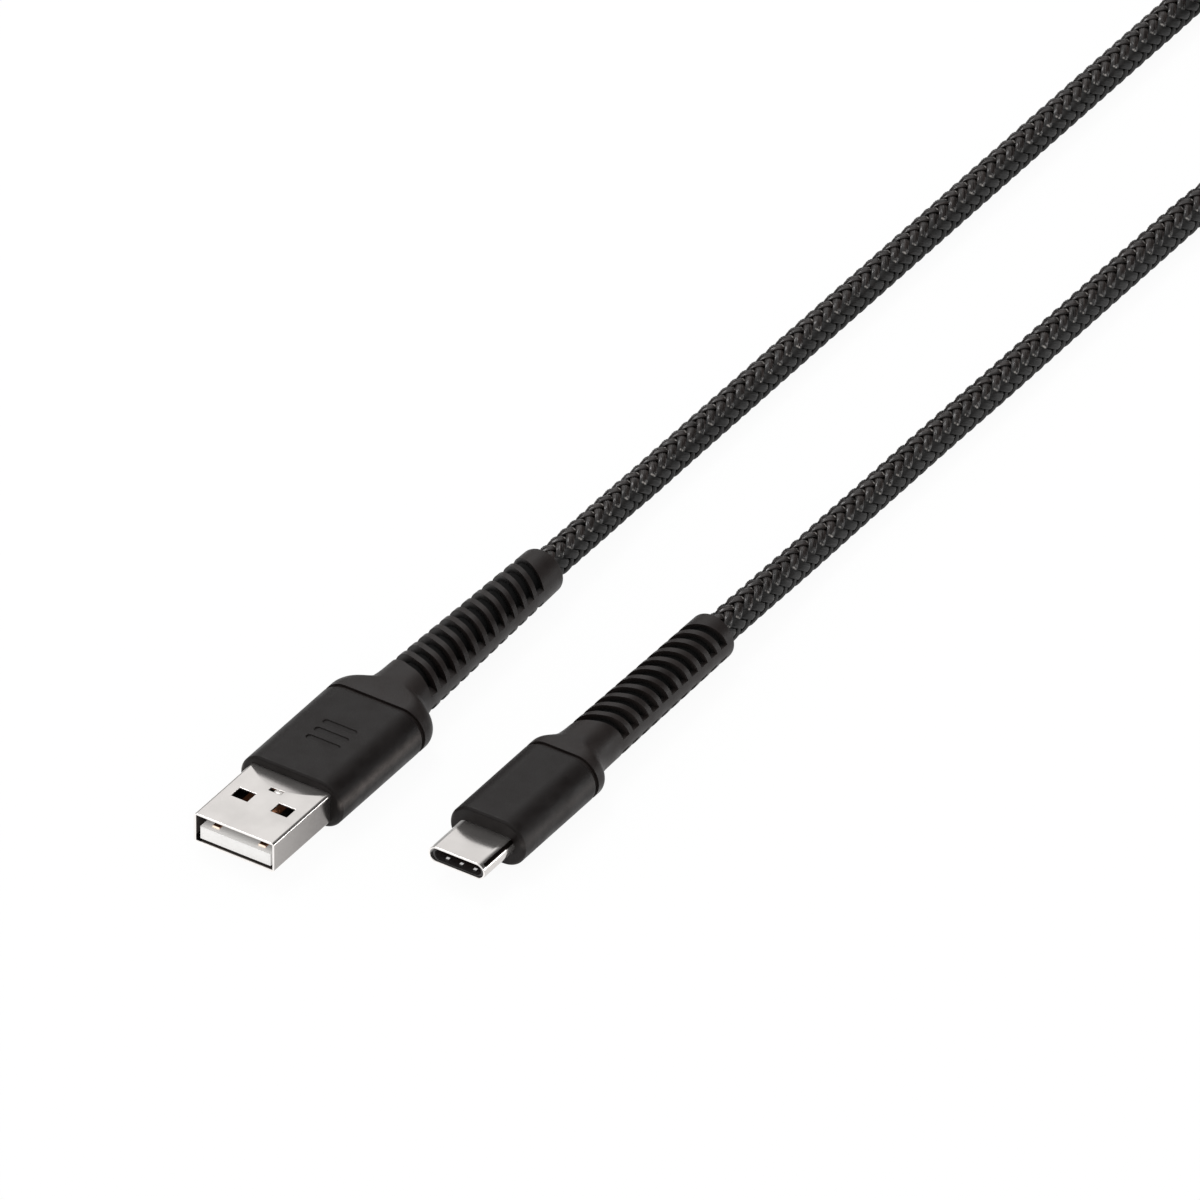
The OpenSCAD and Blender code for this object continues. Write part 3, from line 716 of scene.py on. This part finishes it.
def addBox(mesh, corners):
    # four corners round the lower end, then the four above them
    corners = [mesh.verts.new(c) for c in corners]
    for f in ((3, 2, 1, 0), (4, 5, 6, 7), (0, 1, 5, 4), (1, 2, 6, 5), (2, 3, 7, 6), (3, 0, 4, 7)):
        mesh.faces.new([corners[k] for k in f])


def applyModifiers(piece):
    mesh = evaluatedMesh(piece)
    piece.modifiers.clear()
    piece.data = mesh


def combine(piece, other, operation):
    step = piece.modifiers.new(operation, "BOOLEAN")
    step.operation, step.object, step.solver = operation, other, "EXACT"
    applyModifiers(piece)
    bpy.data.objects.remove(other)


def moveToPlace(piece, place):
    for v in piece.data.vertices:
        v.co = (Vector(v.co) + Vector(place)) * mm


def shadeSmooth(piece, sharpFrom):
    piece.data.polygons.foreach_set("use_smooth", [True] * len(piece.data.polygons))
    piece.data.set_sharp_from_angle(angle=math.radians(sharpFrom))


def register(piece, finish, nodeName=None):
    piece.data.materials.clear()
    piece.data.materials.append(finish)
    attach(piece, "root")
    if nodeName:
        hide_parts(nodeName)
    print(piece.name, len(piece.data.polygons))


reliefs = {
    "usb_a_strain_relief": {
        "name": "usbARelief",
        "place": (-11.8, -4.1, 3.5),          # mm, where the head ends, on the plug's axis
        "head": (15.6, 7.0),                  # width and height of the head's end
        "crease": (4.2, 5.05, 3.45),          # where the dome ends: y, half width, half height
        "sleeve": (8.2, 4.2, 3.4),            # where the flare ends
        "cuff": 6.4, "length": 38.9, "slots": 12, "slotEnd": 4.1,
        "slotTurns": (-17, -22)},             # degrees, at the head and at the cuff
    "usb_c_strain_relief": {
        "name": "usbCRelief",
        "place": (13.9, 0.0, 3.4),
        "head": (11.4, 6.8), "crease": (2.9, 4.6, 3.35), "sleeve": (6.8, 3.68, 3.3),
        "cuff": 6.6, "length": 35.2, "slots": 11, "slotEnd": 3.4, "slotTurns": (21.5, 17)},
}
reliefCut = {
    "pitch": 2.32,
    "width": 1.36,            # mm, a slot from rib to rib
    "reach": (9, 6),          # half length and top of the boxes that cut the slots
    "floor": 2.55,            # radius of the sleeve left round the cord
    "floorEnds": (1.0, 0.3),  # how far that sleeve stops short of the head and of the cuff's end
    "ledge": 0.85,            # height above the axis at which a slot ends
    "domeStart": 1.5,
    "grooveWidth": 0.45,
    "grooveDepth": 0.35,
    "neckLength": 0.9,        # of the groove's floor, which runs on under the skin
    "tenon": 2.2,
    "tenonInset": 0.85,       # the head's wall and the clearance
    "tenonOverlap": 0.5,
    "bore": 2.2,
    "borePast": (0.8, 1.0),   # how far the cut for the bore runs on past both ends
    "endRound": 0.4,          # radius round the cuff's end
    "soften": 0.5,            # mm over which the crease behind the dome is blended
    "softenRings": 14,
    "softenFrom": (0.3, 1.2), # mm before the dome from which this begins, and over which it grows
    "sides": 96,
    "roundSides": 64,
    "ringStep": 0.15,
    "sharpFrom": 32,          # degrees between faces from which an edge is drawn sharp
}
reliefLook = {
    "skin": ("#191413", "#231d1b"), "roughness": (0.4, 0.54),
    "shade": "#020202", "shadeRoughness": 0.95,     # at the bottom of the slots
    "shadeBetween": (2.56, 3.25),                   # mm from the axis, full shade and none
    "grainDepth": 0.016, "specular": 0.28,
}


def reliefMaterial(name, axis, look):
    # rubbery grain that falls into shade towards the floor of the slots
    material, tree, shader = newMaterial(name)
    grain = grainAt(tree, 0.16, 2.5)
    x, _, z = placeInMm(tree, axis)
    away = calc("SQRT", calc("ADD", product(x, x), product(z, z)))
    outer = remap(away, *look["shadeBetween"])
    skin = mouldedSkin(grain, *look["skin"])
    rough = calc("MAXIMUM", remap(grain["Blotch"], 0.3, 0.7, *look["roughness"]),
                 remap(outer, 0.0, 0.8, look["shadeRoughness"], look["roughness"][0]))
    dress(shader, mixColour(outer, look["shade"], skin), rough, specular=look["specular"])
    emboss(shader, grain["Height"], look["grainDepth"])
    return material


def reliefProfile(r):
    # y, half width and half height along the relief, behind the groove
    cut = reliefCut
    start, creaseY, sleeveY, length = cut["domeStart"], r["crease"][0], r["sleeve"][0], r["length"]
    head = (r["head"][0] / 2, r["head"][1] / 2)
    stops = np.array((head, r["crease"][1:], r["sleeve"][1:], (r["cuff"] / 2, r["cuff"] / 2)))
    at = np.arange(cut["grooveWidth"], length + 0.01, cut["ringStep"])
    at[-1] = length
    sizes = []
    for y in at:
        if y < start:
            i, share = 0, 1
        elif y < creaseY:
            i, share = 0, (1 - ((y - start) / (creaseY - start)) ** 2) ** 0.5
        elif y < sleeveY:
            i, share = 1, 1 - (1 - (1 - (y - creaseY) / (sleeveY - creaseY)) ** 2) ** 0.5
        else:
            i, share = 2, 1 - (y - sleeveY) / (length - sleeveY)
        sizes.append(stops[i + 1] + (stops[i] - stops[i + 1]) * share)
    n = cut["softenRings"]
    kernel = np.exp(-0.5 * (np.arange(-n, n + 1) * cut["ringStep"] / cut["soften"]) ** 2)
    kernel /= kernel.sum()
    before, over = cut["softenFrom"]
    blend = np.clip((at - start + before) / over, 0, 1)
    outline = []
    for plain in np.array(sizes).T:
        soft = np.convolve(np.pad(plain, n, mode="edge"), kernel, "valid")
        outline.append(plain * (1 - blend) + soft * blend)
    return at, *outline


def slotCutters(r):
    # both rows of slots as one set of separate boxes
    mesh = bmesh.new()
    first, last = r["slotTurns"]
    count = r["slots"]
    (reach, top), halfSlot = reliefCut["reach"], reliefCut["width"] / 2
    for i in range(count):
        turn = math.radians(first + (last - first) * i / (count - 1))
        middle = r["length"] - r["slotEnd"] - (count - 1 - i) * reliefCut["pitch"]
        cosine, sine = math.cos(turn), math.sin(turn)
        for side in (-1, 1):
            addBox(mesh, [
                (x * cosine - y * sine, middle + x * sine + y * cosine, z * side)
                for z in (reliefCut["ledge"], top)
                for x, y in ((-reach, -halfSlot), (reach, -halfSlot),
                             (reach, halfSlot), (-reach, halfSlot))])
    return pieceFromBmesh("slotCutters", mesh)


def makeRelief(nodeName, r):
    cut, sides, length = reliefCut, reliefCut["sides"], r["length"]

    def rod(name, radius, start, end):
        return loftPiece(name, [stadiumRing(y, radius, radius, cut["roundSides"])
                                for y in (start, end)])

    def underHead(name, inset, start, end):
        halfW, halfH = r["head"][0] / 2 - inset, r["head"][1] / 2 - inset
        return loftPiece(name, [stadiumRing(y, halfW, halfH, sides) for y in (start, end)])

    rings = []
    for y, halfW, halfH in zip(*reliefProfile(r)):
        past = max(0.0, y - length + cut["endRound"])
        inset = cut["endRound"] - (cut["endRound"] ** 2 - past ** 2) ** 0.5
        rings.append(stadiumRing(y, halfW - inset, halfH - inset, sides))
    piece = loftPiece(r["name"], rings)
    combine(piece, slotCutters(r), "DIFFERENCE")
    fromHead, fromEnd = cut["floorEnds"]
    combine(piece, rod("sleeve", cut["floor"], fromHead, length - fromEnd), "UNION")
    combine(piece, underHead("neck", cut["grooveDepth"], 0.0, cut["neckLength"]), "UNION")
    tenon = underHead("tenon", cut["tenonInset"], -cut["tenon"], cut["tenonOverlap"])
    combine(piece, tenon, "UNION")
    before, behind = cut["borePast"]
    combine(piece, rod("bore", cut["bore"], -cut["tenon"] - before, length + behind), "DIFFERENCE")
    moveToPlace(piece, r["place"])
    shadeSmooth(piece, cut["sharpFrom"])
    finish = reliefMaterial(r["name"] + "Elastomer", r["place"], reliefLook)
    register(piece, finish, nodeName)


for nodeName, r in reliefs.items():
    makeRelief(nodeName, r)
print("strain reliefs moulded")


# shells, heads and the USB-A tongue

def finishPiece(piece, edge, segments, finish, nodeName=None):
    # eased edges, and normals that keep the large flat faces even
    soft = piece.modifiers.new("edges", "BEVEL")
    soft.width, soft.segments, soft.limit_method = edge * mm, segments, "ANGLE"
    soft.angle_limit = math.radians(35)
    soft.use_clamp_overlap = False
    applyModifiers(piece)
    shadeSmooth(piece, 50)
    even = piece.modifiers.new("even", "WEIGHTED_NORMAL")
    even.mode, even.weight, even.keep_sharp = "FACE_AREA", 100, True
    applyModifiers(piece)
    register(piece, finish, nodeName)


def roundedRectRing(y, width, height, corner, steps=6):
    ring = []
    for quadrant, (sx, sz) in enumerate(((1, 1), (-1, 1), (-1, -1), (1, -1))):
        for k in range(steps + 1):
            a = math.radians(90 * quadrant + 90 * k / steps)
            ring.append((sx * (width / 2 - corner) + corner * math.cos(a), y,
                         sz * (height / 2 - corner) + corner * math.sin(a)))
    return ring


def openTube(name, outer, inner):
    # outer and inner each hold the rings of a wall's two ends, the mouth first
    mesh = bmesh.new()
    (a, b), (c, d) = [[[mesh.verts.new(v) for v in ring] for ring in wall] for wall in (outer, inner)]
    for k in range(len(a)):
        j = (k + 1) % len(a)
        for face in ((a[k], a[j], b[j], b[k]), (c[j], c[k], d[k], d[j]),
                     (a[j], a[k], c[k], c[j]), (b[k], b[j], d[j], d[k])):
            mesh.faces.new(face)
    return pieceFromBmesh(name, mesh)


def blockPiece(name, boxes):
    mesh = bmesh.new()
    for x0, x1, y0, y1, z0, z1 in boxes:
        addBox(mesh, [(x, y, z) for z in (z0, z1)
                      for x, y in ((x0, y0), (x1, y0), (x1, y1), (x0, y1))])
    return pieceFromBmesh(name, mesh)


shellLook = {
    # the dark tone is painted shade on the shell's inner walls
    "steel": ("#d2cecb", "#dcd8d5"), "inside": "#332d2a",
    "rimGlow": (0.34, 0.335, 0.33, 1),      # painted light on the cut rim
    "leftGlow": 0.85,                       # share of it on the line along the left edge
    "metallic": 0.92,
}
shellA = {
    "place": usbAMouth,
    "width": 12.2, "height": 4.5, "wall": 0.3, "corner": 0.5, "innerCorner": 0.04, "length": 18.5,
    "window": (2.5, 2.0), "windowY": 6.6, "windowGap": 6.0,
    "slit": (-0.95, 0.95, 9.5, 0.72),       # from x, to x, middle y, width
    "tab": (-0.22, 0.9, 0.56, 0.16),        # from x, to x, width, thickness
    "tabDrop": 0.05, "tabEdge": 0.03,
    "seam": (0.08, 12.6, 0.1),              # width, end and depth
    "edge": 0.05,
    # sides: darker and lighter grey of the side walls, painted reflection and shade
    "roughness": 0.19, "sides": ("#6f6b69", "#b2aeab"),
    "insideFrom": 0.06,                     # mm behind the mouth from which the inner walls are painted dark, as shade
    "leftHighlightWidth": 0.16,                       # width of the painted highlight along the left edge
    "dip": (9.6, 0.35, 2.9, 0.13),          # start, reach, curve and slope of the bent reflection
}
shellC = {
    "place": (13.82, -23.2, 3.4),
    "width": 8.55, "height": 2.45, "wall": 0.26, "length": 10.8, "edge": 0.1, "ringSides": 96,
    # sides: the side walls' painted grey, here the steel's own tones
    "roughness": 0.17, "sides": ("#d2cecb", "#dcd8d5"), "insideFrom": 0.5, "leftHighlightWidth": 1.15,
    "dip": (1.2, 3.6, 1.4, 0.14),
}


def shellMaterial(name, s, look):
    # sheet steel; the mirrored studio is helped by light painted in by place: a painted highlight on
    # the rim and left edge, painted reflection and shade on the greyer side walls, painted shade
    # on the inner walls and, at the head, a bump that bends the top's reflection into a dark lens
    material, tree, shader = newMaterial(name)
    grain = grainAt(tree, 0.18, 4.0)
    x, y, z = placeInMm(tree, s["place"])
    halfW, halfH, wall = s["width"] / 2, s["height"] / 2, s["wall"]
    across, up = calc("ABSOLUTE", x), calc("ABSOLUTE", z)
    # where the side walls take their painted grey
    side = product(remap(across, halfW - 0.09, halfW - 0.05),
                   remap(up, halfH - 0.3, halfH - 0.42))
    # painted shade on the inner walls, a little behind the mouth
    inner = product(remap(across, halfW - wall * 0.6, halfW - wall * 0.75),
                    remap(up, halfH - wall * 0.6, halfH - wall * 0.75),
                    remap(y, s["insideFrom"], s["insideFrom"] + 0.15))
    line = s["leftHighlightWidth"]
    # painted highlight along the left edge
    leftEdge = product(remap(x, line - halfW, line * 0.6 - halfW), look["leftGlow"],
                       remap(z, -0.2, 0.2))
    rim = calc("MAXIMUM", remap(y, 0.07, 0.03), leftEdge)
    steel = mixColour(remap(grain["Blotch"], 0.35, 0.65), *look["steel"])
    # painted reflection and shade: the side walls get darker away from the mouth, in fine specks
    paintedSideShade = calc("MULTIPLY_ADD", y, -0.022, grainAt(tree, 0.055, 5.0)["Speckle"])
    paintedSideTone = mixColour(remap(paintedSideShade, 0.15, 0.6), *s["sides"])
    tone = mixColour(inner, mixColour(side, steel, paintedSideTone), look["inside"])
    rough = remap(grain["Speckle"], 0.35, 0.65, s["roughness"] - 0.03, s["roughness"] + 0.03)
    dress(shader, tone, rough, metallic=look["metallic"],
          glow=mixColour(rim, "#000000", look["rimGlow"]))

    start, reach, curve, slope = s["dip"]
    bow = calc("POWER", calc("DIVIDE", across, halfW), 2.0)
    edge = calc("MULTIPLY_ADD", bow, curve, start)
    past = calc("MAXIMUM", calc("SUBTRACT", y, edge), 0.0)
    # falls with the given slope once past the edge, and bends into it over the reach
    eased = calc("MINIMUM", past, reach)
    bent = calc("DIVIDE", product(eased, eased, 0.5), reach)
    fall = calc("ADD", bent, calc("SUBTRACT", past, eased))
    speckle = product(grain["Speckle"], 0.0005)
    emboss(shader, calc("MULTIPLY_ADD", fall, -slope, speckle), 1.0)
    return material


def makeShellA(s):
    w, h, t, y1 = s["width"], s["height"], s["wall"], s["length"]
    piece = openTube("usbAShell",
                     [roundedRectRing(y, w, h, s["corner"]) for y in (0, y1)],
                     [roundedRectRing(y, w - 2 * t, h - 2 * t, s["innerCorner"]) for y in (0, y1)])
    windowW, windowL = s["window"]
    farOut = 5
    holes = [(x - windowW / 2, x + windowW / 2, s["windowY"] - windowL / 2,
              s["windowY"] + windowL / 2, -farOut, farOut)
             for x in (-s["windowGap"] / 2, s["windowGap"] / 2)]
    x0, x1, slitY, across = s["slit"]
    holes.append((x0, x1, slitY - across / 2, slitY + across / 2, 0.5, farOut))
    combine(piece, blockPiece("holes", holes), "DIFFERENCE")
    across, end, depth = s["seam"]
    seam = (-across / 2, across / 2, -1, end, -h / 2 - 1, -h / 2 + depth)
    combine(piece, blockPiece("seam", [seam]), "DIFFERENCE")
    moveToPlace(piece, s["place"])
    finishPiece(piece, s["edge"], 2, shellMaterial("usbASteel", s, shellLook),
                "usb_a_shell")
    x0, x1, across, thick = s["tab"]
    top = h / 2 - s["tabDrop"]
    tab = blockPiece("usbATab", [(x0, x1, slitY - across / 2, slitY + across / 2, top - thick, top)])
    moveToPlace(tab, s["place"])
    finishPiece(tab, s["tabEdge"], 2, finishes["plug_shell"])


def makeShellC(s):
    w, h, t = s["width"], s["height"], s["wall"]
    outer, inner = [[stadiumRing(y, w / 2 - inset, h / 2 - inset, s["ringSides"])
                     for y in (0, s["length"])] for inset in (0, t)]
    piece = openTube("usbCShell", outer, inner)
    moveToPlace(piece, s["place"])
    finishPiece(piece, s["edge"], 3, shellMaterial("usbCSteel", s, shellLook),
                "usb_c_shell")


heads = {
    "usb_a_head": {
        "name": "usbAHead", "axis": (-11.8, 0, 3.5), "halfWidth": 7.8,
        "band": 1.0, "paintedSheen": "#5c5653"},   # mm above the axis, and tone, of the painted reflection on the flanks
    "usb_c_head": {
        "name": "usbCHead", "axis": (13.9, 0, 3.4), "halfWidth": 5.7,
        "band": 0.9, "paintedSheen": "#3d3937"},
}
headLook = {
    "skin": ("#130f0e", "#1b1716"), "roughness": (0.4, 0.56),
    "grainDepth": 0.014, "specular": 0.21, "edge": 0.1,
}


def headMaterial(s, look):
    # satin plastic; a grainy paler band along both flanks is a painted reflection of the studio's
    # light
    material, tree, shader = newMaterial(s["name"] + "Plastic")
    grain = grainAt(tree, 0.16, 2.5)
    x, _, z = placeInMm(tree, s["axis"])
    across = calc("ABSOLUTE", x)
    off = calc("ABSOLUTE", calc("SUBTRACT", z, s["band"]))
    mottled = grainMix(grainAt(tree, 0.09, 1.2), 0.7)
    paintedSheen = product(remap(off, 1.0, 0.1),
                    remap(across, s["halfWidth"] - 0.9, s["halfWidth"] - 0.3),
                    remap(mottled, 0.36, 0.62, 0.25, 1.0))
    skin = mouldedSkin(grain, *look["skin"])
    dress(shader, mixColour(paintedSheen, skin, s["paintedSheen"]),
          remap(grain["Blotch"], 0.3, 0.7, *look["roughness"]), specular=look["specular"])
    emboss(shader, grain["Height"], look["grainDepth"])
    return material


def solidAsBmesh(nodeName):
    mesh = bmesh.new()
    mesh.from_mesh(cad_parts[nodeName].data)
    bmesh.ops.remove_doubles(mesh, verts=mesh.verts, dist=1e-7)
    return mesh


def makeHead(nodeName, s):
    mesh = solidAsBmesh(nodeName)
    bmesh.ops.dissolve_limit(mesh, angle_limit=math.radians(0.6), verts=mesh.verts,
                             edges=mesh.edges)
    mesh.verts.index_update()
    corners = [tuple(v.co) for v in mesh.verts]
    faces = [tuple(v.index for v in f.verts) for f in mesh.faces]
    mesh.free()
    finishPiece(addMesh(s["name"], corners, [], faces), headLook["edge"], 2,
                headMaterial(s, headLook), nodeName)


tongue = pieceFromBmesh("usbATongue", solidAsBmesh("usb_a_tongue"))
finishPiece(tongue, tongueLook["edge"], 2, finishes["white_insulator"],
            "usb_a_tongue")
makeShellA(shellA)
makeShellC(shellC)
for nodeName, s in heads.items():
    makeHead(nodeName, s)
print("shells and heads made")


# floor, world and lamps

light = {
    "floorSize": 80.0,          # metres
    "floorTone": (0.9, 0.9, 0.9, 1),
    "floorSeen": 0.94,          # share of plain white in the picture
    "floorMirrored": 0.85,      # share of plain white that shiny faces mirror from the table
    "worldStrength": 0.95,      # what lights the object
    "skyTone": (0.06, 1.0),     # brightness that shiny faces mirror from low down and from above
    "skyRise": (0.35, 0.95),    # sines of the heights between which the sky brightens
    "flagShare": 0.93,          # of the sky that the flag hides
    "frontShare": 1.6,          # brightness of the front card
}
cards = {                       # direction, and cosines between which each fades in
    "screen": ((-0.45, 0.67, 0.59), 0.93, 0.975),    # a white screen behind the object
    "flag": ((0.5, 0.7, 0.45), 0.76, 0.88),          # a dark card to its right
    "low": ((-0.56, 0.83, 0.0), 0.968, 0.99),        # far white paper, for the left curves
    "front": ((-0.45, -0.6, 0.65), 0.9, 0.97),       # a small bright one, for the edges
}
lamps = {                       # metres and watts
    "keyLamp": {"place": (-0.5, 0.3, 0.9), "aim": (0, 0.03, 0), "size": 0.32, "power": 3.0},
    "sideLamp": {"place": (0.65, 0.6, 0.06), "aim": (0, 0.03, 0.01), "size": 0.25, "power": 1.3},
}


def mixShader(*values):
    return addAfter("ShaderNodeMixShader", values).outputs[0]


def makeFloor():
    reach = light["floorSize"] / 2
    corners = [(-reach, -reach, 0), (reach, -reach, 0), (reach, reach, 0), (-reach, reach, 0)]
    floor = addMesh("floor", corners, [], [(0, 1, 2, 3)])
    material = bpy.data.materials.new("floorPaper")
    tree, surface = emptyTree(material, "ShaderNodeOutputMaterial")
    paper = addNode(tree, "ShaderNodeBsdfDiffuse", {"Color": light["floorTone"]}).outputs[0]
    glow = addNode(tree, "ShaderNodeEmission", {"Color": "#ffffff"}).outputs[0]
    path = addNode(tree, "ShaderNodeLightPath").outputs
    mirrored = calc("MAXIMUM", path["Is Glossy Ray"], path["Is Transmission Ray"])
    seen = calc("MAXIMUM", product(path["Is Camera Ray"], light["floorSeen"]),
                product(mirrored, light["floorMirrored"]))
    setInput(surface, mixShader(seen, paper, glow))
    floor.data.materials.append(material)


def makeWorld():
    world = bpy.data.worlds.new("studio")
    scene.world = world
    tree, surface = emptyTree(world, "ShaderNodeOutputWorld")
    path = addNode(tree, "ShaderNodeLightPath").outputs
    toward = addNode(tree, "ShaderNodeTexCoord").outputs["Generated"]
    sky = remap(splitVector(toward)["Z"], *light["skyRise"], *light["skyTone"])

    def around(name):
        # 1 near the direction of a card, 0 away from it
        direction, outer, inner = cards[name]
        near = addAfter("ShaderNodeVectorMath", (toward, Vector(direction).normalized()),
                        operation="DOT_PRODUCT").outputs["Value"]
        return remap(near, outer, inner)

    def background(strength):
        values = {"Color": "#ffffff", "Strength": strength}
        return addNode(tree, "ShaderNodeBackground", values).outputs[0]

    flagged = calc("MULTIPLY_ADD", around("flag"), -light["flagShare"], 1.0)
    mirrored = product(sky, flagged)
    front = product(around("front"), light["frontShare"])
    for brightness in (around("screen"), around("low"), front):
        mirrored = calc("MAXIMUM", mirrored, brightness)
    forShine = mixShader(path["Is Glossy Ray"], background(light["worldStrength"]),
                         background(mirrored))
    setInput(surface, mixShader(path["Is Camera Ray"], forShine, background(1.0)))


makeFloor()
makeWorld()
for name, s in lamps.items():
    data = bpy.data.lights.new(name, "AREA")
    data.shape, data.size, data.energy = "SQUARE", s["size"], s["power"]
    lamp = addObject(name, data)
    lamp.location = s["place"]
    lookAlong(lamp, Vector(s["aim"]) - Vector(s["place"]))
print("stage and lamps set")
